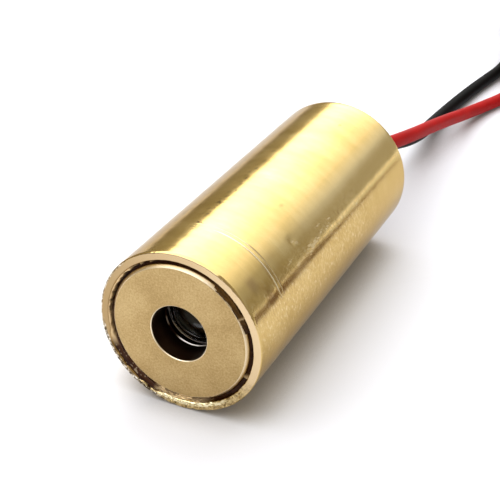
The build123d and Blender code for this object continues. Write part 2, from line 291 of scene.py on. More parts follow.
def coil_points(route, turns, ends_on_top):
    """Points of a lead from its route, round its coil and along its tail, and of its bare end.

    The route's end runs straight on to the coil's start. The turns go clockwise seen from
    above. Each one is level for a share of its round and then steps to the next layer:
    height = start + pitch * (whole turns + s * s * (3 - 2 * s)), where s goes from 0 to 1
    along the step. A coil that ends on top steps up, the other one steps down to the floor.
    The points stand half a step off the places where the wire touches its circle, on a
    circle one over the cosine of half a step wider.
    """
    points = np.array(route) * millimetre
    heading = points[-1] - points[-2]
    heading = heading / np.linalg.norm(heading)
    right = np.array([heading[1], -heading[0], 0])
    start = points[-1] + heading * coil_tail
    centre = start + right * coil_radius

    def on_circle(turn, radius):
        angle = 2 * pi * np.atleast_1d(turn)[:, None]
        return centre - radius * (right * np.cos(angle) - heading * np.sin(angle))

    whole = turns + top_tail / (2 * pi * coil_radius) if ends_on_top else turns
    turn = (np.arange(round(whole * points_per_turn)) + 0.5) / points_per_turn
    ring = on_circle(turn, coil_radius / cos(pi / points_per_turn))
    step = np.clip((turn % 1 - level_share) / (1 - level_share), 0, 1)
    layer = np.floor(turn) + step * step * (3 - 2 * step)
    end = on_circle(whole, coil_radius)[0]
    along_tip = np.linspace(-tip_overlap, tip_length, tip_rows)
    if ends_on_top:
        ring[:, 2] = np.minimum(start[2] + coil_pitch * layer, top_tail_height)
        end[2] = top_tail_height
        tip = on_circle(whole + along_tip / (2 * pi * coil_radius), coil_radius)
        tip[:, 2] = top_tail_height
        return np.vstack([points, ring, end[None]]), tip
    ring[:, 2] = start[2] - coil_pitch * layer
    end[2] = ring[-1, 2]
    tail_heading = heading * cos(2 * pi * turns) + right * sin(2 * pi * turns)
    tail_end = end + tail_heading * coil_tail
    tip = tail_end + tail_heading * along_tip[:, None]
    return np.vstack([points, ring, tail_end[None]]), tip


def lead_curve(name, points):
    """One smooth spline with the lead's points as its control points, as thick as the lead."""
    curve = bpy.data.curves.new(name, "CURVE")
    curve.dimensions = "3D"
    curve.bevel_depth = lead_diameter / 2
    curve.bevel_resolution = 6
    curve.use_fill_caps = True
    spline = curve.splines.new("NURBS")
    spline.points.add(len(points) - 1)
    spline.points.foreach_set("co", np.hstack([points, np.ones((len(points), 1))]).ravel())
    spline.order_u = 3
    spline.use_endpoint_u = True
    spline.resolution_u = 8
    piece = bpy.data.objects.new(name, curve)
    bpy.context.scene.collection.objects.link(piece)
    return piece


def bare_end(name, line):
    """Six tinned strands twisted round a seventh, as one skin along a line.

    On each row the skin's radius is 2 a cos d + sqrt(a^2 - (2 a sin d)^2), where a is the
    strand's radius and d runs from -30 to 30 degrees across each strand. The strands turn
    once in their lay. The skin starts from the axis and closes in as a half circle.
    """
    row_step = np.gradient(line, axis=0)
    ahead = row_step / np.linalg.norm(row_step, axis=1)[:, None]
    side = np.cross(ahead, [0, 0, 1])
    up = np.cross(side, ahead)
    lengths = np.linalg.norm(np.diff(line, axis=0), axis=1)
    run = np.concatenate([[0], np.cumsum(lengths)])[:, None]
    angle = np.linspace(0, 2 * pi, tip_columns, endpoint=False)[None, :]
    sector = 2 * pi / outer_strands
    across = (angle - 2 * pi * run / strand_lay) % sector - sector / 2
    inside = strand_radius ** 2 - (2 * strand_radius * np.sin(across)) ** 2
    skin = 2 * strand_radius * np.cos(across) + np.sqrt(np.maximum(inside, 0))
    closing = np.clip((run[-1] - run) / (2 * strand_radius), 0, 1)
    opening = np.clip(run / (strand_radius / 4), 0, 1)
    skin = skin * np.sqrt(1 - (1 - closing) ** 2) * opening
    points = line[:, None] + skin[..., None] * (
        np.cos(angle)[..., None] * side[:, None] + np.sin(angle)[..., None] * up[:, None]
    )
    return grid_piece(name, points, closed_v=True)


set_camera()

# Floor: painted shade, a little darker where a piece touches it, for camera rays only. Far out it
# glows white by itself, for rays from the camera and for those that metal or glass sends on.
floor_half = 2.0
contact_reach = 1.8 * millimetre
contact_shade_tones = [(0.20, (0.24, 0.22, 0.21)), (0.80, (0.805, 0.82, 0.87))]
glow_colour = (0.96, 0.97, 1.0, 1)
near_glow = 0.06
glow_over_distance = [(0.09, 0.0), (0.20, 1.0)]

floor_paint = Nodes("floor_white")
floor_paint.set(Roughness=0.9, Specular_IOR_Level=0.1)
path = floor_paint.add("ShaderNodeLightPath").outputs
# painted shade: ambient occlusion darkens the floor's colour near the pieces, for camera rays
contact_shade = floor_paint.add("ShaderNodeAmbientOcclusion", samples=8)
contact_shade.inputs["Distance"].default_value = contact_reach
not_camera = floor_paint.math("SUBTRACT", 1.0, path["Is Camera Ray"])
open_space = floor_paint.math("MAXIMUM", contact_shade.outputs["AO"], not_camera)
floor_paint.feed(Base_Color=floor_paint.ramp(open_space, contact_shade_tones))
seen = floor_paint.math("MAXIMUM", path["Is Camera Ray"], path["Is Glossy Ray"])
seen = floor_paint.math("MAXIMUM", seen, path["Is Transmission Ray"])
distance = floor_paint.add("ShaderNodeVectorMath", operation="LENGTH")
floor_paint.link(floor_paint.place, distance.inputs[0])
far_glow = floor_paint.ramp(distance.outputs["Value"], glow_over_distance)
glow = floor_paint.add("ShaderNodeEmission")
glow.inputs["Color"].default_value = glow_colour
glow_strength = floor_paint.times(seen, floor_paint.math("MAXIMUM", far_glow, near_glow))
floor_paint.link(glow_strength, glow.inputs["Strength"])
both = floor_paint.add("ShaderNodeAddShader")
floor_paint.link(floor_paint.shader.outputs["BSDF"], both.inputs[0])
floor_paint.link(glow.outputs["Emission"], both.inputs[1])
floor_paint.link(both.outputs["Shader"], floor_paint.output.inputs["Surface"])
floor = plane_card("floor", (-floor_half, -floor_half), (floor_half, floor_half), 0.0)
floor.data.materials.append(floor_paint.material)

# Light: panels of cloth overhead, whose strength changes across them. The metal mirrors
# another strength at the rear than the one that lights the surfaces.
ceiling_height = 0.10
panel_gap = 1 * millimetre
ceiling_left = -0.1235
ceiling_right = 0.36
ceiling_front = -0.15
ceiling_back = 0.32
ceiling_split = 0.09
front_panel_right = 0.045
side_panel_left = 0.06
cloth_tint = (1.0, 0.99, 0.99, 1)
soft_stops = [
    (ceiling_left, 2.9), (-0.06, 2.9), (-0.01, 2.3), (0.02, 1.85), (0.055, 1.55),
    (0.085, 1.08), (0.14, 0.60), (0.24, 0.47), (ceiling_right, 0.42),
]
shine_stops = [
    (ceiling_left, 3.6), (-0.09, 4.2), (-0.05, 4.0), (-0.015, 3.0), (0.02, 2.0),
    (0.055, 1.55), (0.085, 1.08), (ceiling_right, 0.42),
]


def light_cloth(name, stops):
    """Light cloth whose strength follows the stops (x, strength) across the panels."""
    cloth = Nodes(name)
    cloth.tree.nodes.remove(cloth.shader)
    split = cloth.add("ShaderNodeSeparateXYZ")
    cloth.link(cloth.place, split.inputs["Vector"])
    across = cloth.add("ShaderNodeMapRange")
    across.inputs["From Min"].default_value = ceiling_left
    across.inputs["From Max"].default_value = ceiling_right
    cloth.link(split.outputs["X"], across.inputs["Value"])
    brightest = max(strength for _, strength in stops)
    width = ceiling_right - ceiling_left
    shades = [((x - ceiling_left) / width, strength / brightest) for x, strength in stops]
    shade = cloth.ramp(across.outputs["Result"], shades)
    glow = cloth.add("ShaderNodeEmission")
    glow.inputs["Color"].default_value = cloth_tint
    cloth.link(cloth.times(shade, brightest), glow.inputs["Strength"])
    cloth.link(glow.outputs["Emission"], cloth.output.inputs["Surface"])
    return cloth.material


soft_cloth = light_cloth("light_cloth", soft_stops)
shine_cloth = light_cloth("shine_cloth", shine_stops)
rear_panel = (ceiling_left, ceiling_split), (side_panel_left, ceiling_back)
front_panel = (ceiling_left, ceiling_front), (front_panel_right, ceiling_split)
side_panel = (side_panel_left, ceiling_split), (ceiling_right, ceiling_back)
for name, corners, lift, cloth, lights_surfaces, is_reflected, casts_shadow in (
    ("light_panel", rear_panel, panel_gap, soft_cloth, True, False, True),
    ("shine_panel", rear_panel, 0, shine_cloth, False, True, False),
    ("front_light_panel", front_panel, 0, soft_cloth, True, True, True),
    ("side_light_panel", side_panel, 0, soft_cloth, False, True, True),
):
    panel = plane_card(name, *corners, ceiling_height + lift, facing_down=True)
    panel.data.materials.append(cloth)
    panel.visible_camera = False
    panel.visible_diffuse = lights_surfaces
    panel.visible_glossy = is_reflected
    panel.visible_shadow = casts_shadow

# Dark strips beside the barrel, seen only in reflections: the dark seam along its right side
strip_x = 0.020
strip_bottom = 0.0002
strip_paint = Nodes("dark_card")
strip_paint.set(Base_Color=(0.16, 0.09, 0.05, 1), Roughness=0.9)
for name, strip_start, strip_end, strip_top in (
    ("dark_strip", 0.009, 0.036, 0.0014),
    ("dark_end_strip", 0.009, 0.0235, 0.0036),
):
    strip_points = [
        [(strip_x, y, z) for y in (strip_start, strip_end)] for z in (strip_bottom, strip_top)
    ]
    strip = grid_piece(name, np.array(strip_points))
    strip.data.materials.append(strip_paint.material)
    strip.visible_camera = False
    strip.visible_shadow = False
    strip.visible_diffuse = False

world = bpy.data.worlds.new("studio")
world.use_nodes = True
world.node_tree.nodes["Background"].inputs["Color"].default_value = (0.40, 0.365, 0.29, 1)
world.node_tree.nodes["Background"].inputs["Strength"].default_value = 1.0
bpy.context.scene.world = world
bpy.context.scene.view_settings.view_transform = "Standard"


# Leads
def insulation(name, tones, roughness, specular):
    """Semi-gloss insulation, its tone and roughness mottled along the wire."""
    paint = Nodes(name)
    mottle = paint.noise(1500, 4.0, 0.6, stretch=(1, 0.5, 1))
    paint.feed(
        Base_Color=paint.ramp(mottle, [(0.3, tones[0]), (0.7, tones[1])]),
        Roughness=paint.ramp(mottle, [(0.3, roughness[0]), (0.7, roughness[1])]),
    )
    paint.set(Specular_IOR_Level=specular)
    paint.bump(paint.noise(9000, 3.0, 0.6), 4 * micrometre)
    return paint


red_paint = insulation(
    "red_insulation", [(0.33, 0.006, 0.006), (0.45, 0.011, 0.010)], (0.38, 0.50), 0.03
)
black_paint = insulation(
    "black_insulation", [(0.0015, 0.0018, 0.0015), (0.004, 0.004, 0.004)], (0.36, 0.48), 0.02
)
bare_copper, thin_tin, thick_tin = (0.62, 0.50, 0.40), (0.74, 0.72, 0.68), (0.84, 0.83, 0.80)
core_paint = Nodes("tinned_copper")
core_paint.set(Metallic=1.0)
solder_film = core_paint.noise(2600, 4.0, 0.6, stretch=(1, 0.6, 1))
core_paint.feed(
    Base_Color=core_paint.ramp(
        solder_film, [(0.36, bare_copper), (0.46, thin_tin), (0.7, thick_tin)]
    ),
    Roughness=core_paint.ramp(solder_film, [(0.3, 0.42), (0.7, 0.22)]),
)
core_paint.bump(core_paint.noise(9000, 3.0, 0.6), 3 * micrometre)

for colour, route, turns, ends_on_top, paint, length in (
    ("red", red_route, red_turns, True, red_paint, red_length),
    ("black", black_route, black_turns, False, black_paint, black_length),
):
    points, tip_line = coil_points(route, turns, ends_on_top)
    lead = lead_curve(f"{colour}_lead_wire", points)
    tip = bare_end(f"{colour}_stranded_end", tip_line)
    finish_piece(tip, core_paint, "tinned_copper", f"{colour}_lead_tip")
    finish_piece(
        lead, paint, f"{colour}_insulation", f"{colour}_lead", f"{colour}_lead_coil"
    )

# Turned pieces: forms and marks round the barrel's axis
around = 440
turn = np.linspace(0, 2 * pi, around, endpoint=False)[None, :]


def revolved(radius, depth, angle=turn):
    """Points at a radius and a depth in millimetres: x = r cos t, z = axis + r sin t."""
    radius, depth, angle = np.broadcast_arrays(radius * millimetre, depth * millimetre, angle)
    x = radius * np.cos(angle)
    z = axis_z + radius * np.sin(angle)
    return np.stack([x, front_y + depth, z], axis=-1)


def softened(profile, reach, steps=3):
    """Closed profile of (radius, depth) with each corner cut by a short curve.

    Each corner B between A and C becomes (1 - s)^2 P + 2 s (1 - s) B + s^2 Q, with P and Q
    at the reach from B, or at a third of a shorter side.
    """
    corners = np.array(profile)
    rows = []
    for before, corner, after in zip(np.roll(corners, 1, 0), corners, np.roll(corners, -1, 0)):
        back, ahead = before - corner, after - corner
        first = corner + back * min(reach / np.linalg.norm(back), 1 / 3)
        last = corner + ahead * min(reach / np.linalg.norm(ahead), 1 / 3)
        s = np.linspace(0, 1, steps + 1)[:, None]
        rows.append((1 - s) ** 2 * first + 2 * s * (1 - s) * corner + s * s * last)
    return np.vstack(rows)


def smooth_noise(generator, shape, cells):
    """Random grid of the given cells, blown up to the shape by smooth steps between cells.

    With a and b the place inside a cell, each smoothed as a * a * (3 - 2 * a), the value is
    the mean of the cell's four corners, weighted by (1 - a) or a and by (1 - b) or b. The
    columns close round the axis.
    """
    rows, columns = shape
    cell_rows, cell_columns = cells
    grid = generator.uniform(-1, 1, (cell_rows + 2, cell_columns))
    u = np.linspace(0, cell_rows, rows)[:, None]
    v = np.arange(columns)[None, :] * cell_columns / columns
    i, j = np.floor(u).astype(int), np.floor(v).astype(int)
    a, b = u - i, v - j
    a, b = a * a * (3 - 2 * a), b * b * (3 - 2 * b)
    j0, j1 = j % cell_columns, (j + 1) % cell_columns
    return (
        grid[i, j0] * (1 - a) * (1 - b) + grid[i + 1, j0] * a * (1 - b)
        + grid[i, j1] * (1 - a) * b + grid[i + 1, j1] * a * b
    )


def bell(value, width):
    """Bell curve over a value: exp(-(value / width)^2)."""
    return np.exp(-((value / width) ** 2))


def window(value, low, high, soft):
    """One between low and high, falling to nothing over the soft width on both sides."""
    return np.clip((value - low) / soft + 1, 0, 1) * np.clip((high - value) / soft + 1, 0, 1)


def ramped(value, start, width):
    """Nothing up to the start, rising to one over the width."""
    return np.clip((value - start) / width, 0, 1)


def blended(first, second, share):
    """First where the share is nothing, second where it is one."""
    return first * (1 - share) + second * share


def wrapped(angle, middle):
    """Signed angle in degrees from a middle, for a grid of angles in radians."""
    return (np.degrees(angle) - middle + 180) % 360 - 180


def arc(middle, low, high, soft, angle=turn):
    """One on an arc from low to high degrees off its middle, with soft ends outside them."""
    return window(wrapped(angle, middle), low, high, soft)


# Barrel: a plain tube with a burred rim, chips, scribed lines, a ding, wear, and painted light and
# shade
dice = np.random.default_rng(7)
bore = 2.70
outside = 3.0
widest = 2.9995
barrel_length = 14.0
edge_round = 0.05
lines_start = 1.8
lines_end = 2.3
rim_reach = 0.12
light_burr = 0.008
heavy_burr = 0.040
wave_height = 0.002
chip_width = 0.13
chip_reach = 0.4
ding_depth = 0.035
ding_place = 4.05, 42
ding_size = 0.09, 3.2
groove_width = 0.018

wall_rows = np.unique(np.concatenate([
    np.linspace(edge_round, lines_start, 22),
    np.linspace(lines_start, lines_end, 34),
    np.linspace(lines_end, barrel_length - edge_round, 80),
]))[::-1]
inner_rows = (0.12, 0.3, 0.7, 2.0, 4.0, 6.0, 8.0, 10.0, 12.0, barrel_length - 0.06)
wall = np.stack([np.full(len(wall_rows), outside), wall_rows], axis=1)
shell = np.vstack([
    wall,
    [(outside - 0.015, 0.022), (outside - 0.03, 0.006), (outside - edge_round, 0.0)],
    [(r, 0.0) for r in np.linspace(outside - 0.06, bore + 0.06, 12)],
    [(bore + edge_round, 0.0), (bore + 0.035, 0.006), (bore + 0.02, 0.02), (bore, edge_round)],
    [(bore, y) for y in inner_rows],
    [(bore + 0.02, barrel_length - 0.02), (bore + edge_round, barrel_length)],
    [(outside - 0.15, barrel_length), (outside - edge_round, barrel_length)],
    [(outside - 0.02, barrel_length - 0.015), (outside - 0.005, barrel_length - 0.035)],
])
radius = shell[:, :1] + np.zeros_like(turn)
depth = shell[:, 1:] + np.zeros_like(turn)
shape = radius.shape
on_wall = (np.arange(shape[0]) < len(wall))[:, None]
near_rim = np.clip(1 - shell[:, 1:] / rim_reach, 0, 1)

# Scribed lines: each groove's place and cut, and the place, width and strength of the painted
# highlight along it
line_arc = arc(53, -24, 22, 10)
scribe_highlight = np.zeros(shape)
for groove, cut, bright_line, bright_width, strength in (
    (1.97, 0.014, 2.0, 0.022, 1.0),
    (2.20, 0.016, 2.2, 0.018, 0.6),
):
    radius -= on_wall * line_arc * cut * bell(depth - groove, groove_width)
    scribe_highlight += strength * line_arc * bell(depth - bright_line, bright_width)
ding = bell(depth - ding_place[0], ding_size[0]) * bell(wrapped(turn, ding_place[1]), ding_size[1])
radius -= on_wall * ding_depth * ding
waves = smooth_noise(dice, shape, (60, 14))
radius -= on_wall * wave_height * (waves + 1)

# Rim: burr on its lower arc, and the bore chipped wider at the lower left
chipped_arc = 225, -26, 24, 8
burr = arc(290, -48, 34, 14)
rough = light_burr + heavy_burr * burr
fine = 0.6 * smooth_noise(dice, shape, (70, 220)) + 0.4 * smooth_noise(dice, shape, (60, 150))
depth += near_rim * rough * np.clip(fine + 0.35, 0, 1)
on_outer_edge = near_rim * (radius > outside - 0.1)
radius -= on_outer_edge * rough * 0.5 * np.clip(fine, 0, 1)
inward = smooth_noise(dice, shape, (30, 130))
widened = chip_width * arc(*chipped_arc) * (1 + 0.25 * inward)
radius += (depth < chip_reach) * widened * np.clip((outside - 0.04 - radius) / 0.24, 0, 1)
on_inner_edge = near_rim * (radius < bore + 0.06)
radius -= on_inner_edge * rough * 0.9 * np.clip(inward, 0, 1)
radius = np.minimum(radius, widest)

# Scratches: depth and angle of each one, its length, width in degrees, and slant
scratches = np.zeros(shape)
for mark_depth, mark_angle, length, width, slant in (
    (4.95, 27.6, 0.34, 0.45, 7.0), (5.10, 28.3, 0.26, 0.40, 6.0), (5.30, 28.6, 0.16, 0.45, -3.0),
    (4.70, 29.5, 0.30, 0.35, 8.0), (5.20, 30.2, 0.22, 0.35, 5.0), (4.85, 31.2, 0.20, 0.30, 3.0),
    (5.55, 29.4, 0.14, 0.40, 9.0), (5.02, 29.2, 0.10, 0.90, 2.0), (4.15, 40.0, 0.16, 0.60, -16.0),
    (3.30, 33.0, 0.20, 0.40, 5.0), (5.90, 36.0, 0.12, 0.40, 3.0), (6.70, 33.5, 0.10, 0.40, -4.0),
    (5.80, 30.6, 0.22, 0.30, 6.0), (6.30, 29.8, 0.26, 0.30, 5.0),
):
    along = depth - mark_depth
    off = wrapped(turn, mark_angle) - slant * along
    scratches = np.maximum(scratches, bell(along, length) * bell(off, width))

# Single pits: depth, angle and size; and two arcs where fine ones lie close
millimetres_per_degree = 0.052
pits = np.zeros(shape)
for mark_depth, mark_angle, size in (
    (3.9, 99.0, 0.05), (4.4, 98.5, 0.04), (4.75, 99.5, 0.06), (5.2, 98.0, 0.05),
    (5.5, 99.0, 0.04), (6.0, 98.5, 0.05), (5.15, 63.0, 0.05), (6.2, 84.0, 0.05),
    (12.0, 75.0, 0.05), (4.9, 88.0, 0.03),
):
    off = wrapped(turn, mark_angle) * millimetres_per_degree
    pits = np.maximum(pits, bell(depth - mark_depth, size) * bell(off, size))
left_pits = arc(98.5, -3, 2, 2) * window(depth, 2.4, 8.6, 1.2)
side_pits = arc(121, -4, 5, 3) * window(depth, 2.0, 8.0, 1.5)

# Painted light and shade: the wall darker at the front of the band by the seam, on its left side
# and on its lower right side, and lighter in a band towards the rear; and the tones of the rim
# painted shade, blotchy, at the front of the band beside the seam
painted_shade = np.clip(smooth_noise(dice, shape, (26, 26)) + 0.25, 0, 1)
painted_shade = painted_shade * window(depth, 0.2, 4.6, 1.0) * arc(34, -8, 10, 6)
# painted shade on the left side
left_side_shade = arc(126, -9, 34, 10)
# painted shade on the lower right side, where the wall mirrors the floor
floor_side_shade = arc(4, -34, 17, 7)
# painted highlight in a band, growing towards the rear
rear_band_highlight = arc(41, -8, 4, 9) * ramped(depth, 3, 5)
speckle = arc(14, -14, 18, 8) * window(depth, 1.2, 9.0, 2.5)
# burr crumbs on the rim's lower inner arc, brightened as painted highlight
lower_rim_highlight = arc(275, -24, 22, 14)
inner_half = np.clip((outside - 0.14 - radius) / 0.05, 0, 1)
# painted highlight, flecked dark, along the rim's outer edge on the lower left and on the left
lower_edge_highlight = 0.9 * arc(222, -30, 28, 10) * ramped(radius, outside - 0.15, 0.03)
left_edge_highlight = 0.7 * arc(165, -28, 20, 8) * ramped(radius, outside - 0.075, 0.02)

barrel = grid_piece("barrel_shell", revolved(radius, depth), True, True)
for name, values in (
    # painted highlight along the scribed lines, which also roughens them
    ("scribe_highlight", on_wall * np.clip(scribe_highlight, 0, 1)),
    ("scratch", on_wall * scratches),
    ("pit", on_wall * pits),
    ("pitted", on_wall * np.maximum(left_pits, 0.8 * side_pits)),
    # painted shade on the wall
    ("painted_shade", on_wall * np.clip(painted_shade + left_side_shade + 0.42 * floor_side_shade, 0, 1)),
    # painted highlight towards the rear
    ("rear_band_highlight", on_wall * rear_band_highlight),
    ("speckle", on_wall * speckle),
    ("rough_rim", near_rim * burr),
    # burr crumbs with painted highlight on the rim's lower inner arc
    ("inner_rim_highlight", near_rim * lower_rim_highlight * inner_half),
    ("rim_face", (depth < 0.03) * np.clip((outside - 0.01 - radius) / 0.02, 0, 1)),
    # side of the rim, for the rim face's painted light and shade
    ("rim_side", 0.5 + 0.5 * np.cos(turn) + np.zeros(shape)),
    # painted highlight along the rim's outer edge
    ("edge_highlight_line", np.maximum(lower_edge_highlight, left_edge_highlight) * (depth < 0.10)),
):
    point_values(barrel, name, values)

# Brass: brushed round the axis, blotched, with crumbs on the rim
brass = Nodes("barrel_brass")
brass.set(
    Metallic=1.0, Anisotropic=0.5, Anisotropic_Rotation=0.25, Specular_Tint=(0.72, 0.66, 0.56, 1)
)
brush = brass.noise(1.0, 2.0, 0.6, stretch=(300, 22000, 300))
brush_wide = brass.noise(1.0, 3.0, 0.6, stretch=(160, 3500, 160))
blotch = brass.noise(420, 4.0, 0.6, stretch=(1, 1.6, 1))
specks = brass.noise(1.0, 3.0, 0.65, stretch=(6500, 13000, 6500))
pit_specks = brass.noise(1.0, 3.0, 0.65, stretch=(6500, 5000, 6500))
crumbs = brass.noise(9000, 4.0, 0.7)
light_specks = brass.ramp(specks, [(0.54, 0.0), (0.68, 0.5)])
dark_specks = brass.ramp(specks, [(0.34, 0.45), (0.46, 0.0)])
fine_pits = brass.ramp(pit_specks, [(0.56, 0.0), (0.63, 0.85)])
# painted light and shade on the rim's front face: darker on the left, lighter on the right
rim_face_light_and_shade = brass.mix(brass.stored("rim_side"), (0.36, 0.24, 0.12), (0.76, 0.58, 0.36))
rough_rim_tone = brass.ramp(
    crumbs, [(0.37, (0.12, 0.07, 0.025)), (0.46, (0.40, 0.29, 0.125)), (0.63, (0.66, 0.51, 0.25))]
)
# burr crumbs, brightened as painted highlight
inner_rim_highlight_tone = brass.ramp(
    crumbs, [(0.34, (0.22, 0.13, 0.05)), (0.44, (0.95, 0.80, 0.45)), (0.60, (1.0, 0.95, 0.68))]
)
# painted highlight on the rim's outer edge, with dark flecks
edge_highlight_tone = brass.ramp(
    crumbs, [(0.44, (0.03, 0.025, 0.02)), (0.50, (0.30, 0.24, 0.16)), (0.60, (0.98, 0.95, 0.86))]
)
tone = brass.ramp(
    brass.blend(brush_wide, blotch, 0.22),
    [(0.30, (0.62, 0.44, 0.150)), (0.50, (0.72, 0.525, 0.205)), (0.72, (0.80, 0.62, 0.28))],
)
for name, share, colour in (
    # painted shade on the wall, and a painted highlight towards the rear
    ("painted_shade", 0.75, (0.40, 0.25, 0.11)),
    ("rear_band_highlight", 0.8, (1.0, 0.80, 0.42)),
    ("speckle", light_specks, (1.0, 0.88, 0.62)),
    ("speckle", dark_specks, (0.42, 0.27, 0.11)),
    # painted highlight along the scribed lines
    ("scribe_highlight", 1.0, (1.0, 0.92, 0.70)),
    ("scratch", 1.0, (1.0, 0.84, 0.55)),
    ("rim_face", 0.85, rim_face_light_and_shade),
    ("rough_rim", 0.9, rough_rim_tone),
    ("inner_rim_highlight", 1.0, inner_rim_highlight_tone),
    ("edge_highlight_line", 1.0, edge_highlight_tone),
    ("pit", 0.9, (0.16, 0.10, 0.05)),
    ("pitted", fine_pits, (0.20, 0.14, 0.06)),
):
    tone = brass.mix(brass.times(brass.stored(name), share), tone, colour)
gloss = brass.ramp(brass.blend(brush, blotch, 0.5), [(0.3, 0.10), (0.7, 0.22)])
worn = brass.math("MAXIMUM", brass.stored("scribe_highlight"), brass.stored("scratch"))
gloss = brass.math("ADD", brass.times(worn, 0.45), gloss)
around_axis = brass.add("ShaderNodeTangent", direction_type="RADIAL", axis="Y")
brass.feed(Base_Color=tone, Roughness=gloss, Tangent=around_axis.outputs["Tangent"])
rim_relief = brass.times(crumbs, brass.times(brass.stored("rough_rim"), 0.6))
brush_relief = brass.times(brush, 0.03)
brass.bump(brass.math("ADD", rim_relief, brush_relief), 20 * micrometre)
finish_piece(barrel, brass, "barrel_brass", "housing_tube")

# Lens cell: a turned cup with the beam aperture in its face
land, neck, pocket, relief, hole = 2.68, 2.54, 1.92, 1.52, 1.035
shoulder = 0.70
chamfer = 0.10
hole_chamfer = 0.03
hole_depth = 1.00
seat = 1.66
cell_end = 4.40
end_burr = 0.030
corner_reach = 0.02
cell_profile = [
    (land, cell_end), (land, shoulder), (neck, shoulder), (neck, chamfer), (neck - chamfer, 0.0),
    (hole + hole_chamfer, 0.0), (hole, hole_chamfer),
    (hole, 0.25), (hole, 0.45), (hole, 0.65), (hole, 0.85), (hole, hole_depth - 0.045),
    (hole - end_burr, hole_depth - 0.015), (hole - end_burr, hole_depth),
    (relief, hole_depth), (relief, seat), (pocket, seat), (pocket, cell_end),
]
cell_shape = softened(cell_profile, corner_reach)
cell_radius, cell_depth = cell_shape[:, :1], cell_shape[:, 1:]
cell = grid_piece("turned_lens_cell", revolved(cell_radius, cell_depth), True, True)


def near(radius, reach, depth_limit):
    """The cell's rows within a reach of a radius and in front of a depth."""
    return (np.abs(cell_radius - radius) < reach) & (cell_depth < depth_limit)


hole_edge = near(hole + 0.017, 0.020, 0.034)
face_edge = near(neck - 0.09, 0.016, 0.02)
chamfer_arc = arc(72, -8, 9, 10) + 0.4 * arc(100, -6, 6, 4)
chamfer_glint = near(neck - 0.05, 0.056, 0.11) * chamfer_arc
bore_end = (cell_radius < hole + 0.001) & (np.abs(cell_depth - hole_depth + 0.032) < 0.0225)
bore_glint = bore_end * (arc(268, -26, 30, 12) + 0.4 * arc(196, -6, 8, 5))
# painted shade in the bore and in the cup behind the face, but not on the bore's glint
in_bore = (cell_radius < pocket - 0.02) & (cell_depth > hole_chamfer + 0.002)
behind_face = np.clip(cell_depth / 0.3 - 0.3, 0, 1)
for name, values in (
    ("bore_shade", np.maximum(in_bore, behind_face) * (1 - np.clip(bore_glint, 0, 1))),
    ("edge", hole_edge + 0.6 * face_edge + np.zeros_like(turn)),
    ("glint", np.clip(0.15 * chamfer_glint + bore_glint, 0, 1)),
    ("deep", np.clip(cell_depth / 0.45 - 0.9, 0, 1) + np.zeros_like(turn)),
):
    point_values(cell, name, values)

cell_brass = Nodes("cell_brass")
cell_brass.set(Metallic=1.0)
grain = cell_brass.noise(14000, 4.0, 0.7)
cloud = cell_brass.noise(700, 4.0, 0.6)
tone = cell_brass.ramp(
    cell_brass.blend(grain, cloud, 0.6),
    [(0.36, (0.340, 0.225, 0.086)), (0.50, (0.465, 0.322, 0.138)), (0.64, (0.58, 0.425, 0.205))],
)
# painted shade: dark brown near the face, near black deep inside
bore_shade_tone = cell_brass.mix(
    cell_brass.stored("deep"), (0.17, 0.085, 0.045), (0.024, 0.010, 0.006)
)
for name, colour in (
    ("edge", (1.0, 0.86, 0.62)),
    ("glint", (1.0, 0.97, 0.92)),
    ("bore_shade", bore_shade_tone),
):
    tone = cell_brass.mix(cell_brass.stored(name), tone, colour)
cell_brass.feed(Base_Color=tone, Roughness=cell_brass.ramp(grain, [(0.3, 0.28), (0.7, 0.42)]))
cell_brass.bump(grain, 6 * micrometre)
finish_piece(cell, cell_brass, "cell_brass", "lens_cell")

# Adhesive in the gap: a rough ring, its level and colour changing round the face
gap_columns = 480
top_rows = 18
gap_inside = 2.45
gap_outside = 2.705
chip_fill = 0.15
gap_bottom = 0.65
shallowest = 0.006
deepest = 0.6
neck_reach = neck + 0.005
spin = np.linspace(0, 2 * pi, gap_columns, endpoint=False)[None, :]
across_gap = np.concatenate([np.linspace(0, 1, top_rows), [0.98, 0.45]])[:, None]
on_top = (np.arange(len(across_gap)) < top_rows)[:, None]
ring_outside = gap_outside + chip_fill * arc(*chipped_arc, spin)
gap_radius = gap_inside + (ring_outside - gap_inside) * across_gap
gap_shape = gap_radius.shape
coarse = smooth_noise(dice, gap_shape, (4, 36))
middle = smooth_noise(dice, gap_shape, (6, 110))
small = smooth_noise(dice, gap_shape, (9, 240))
lumps = 0.5 * coarse + 0.35 * middle + 0.25 * small


def span(low, high, soft):
    """One from low to high degrees, with soft ends half inside; it may run through zero."""
    half = (high - low) / 2
    return np.clip((half - np.abs(wrapped(spin, low + half))) / soft + 0.5, 0, 1)


def outside_of(edge, soft):
    """One outside of a radius and nothing inside of it, over a soft width."""
    return np.clip((gap_radius - edge) / soft + 0.5, 0, 1)


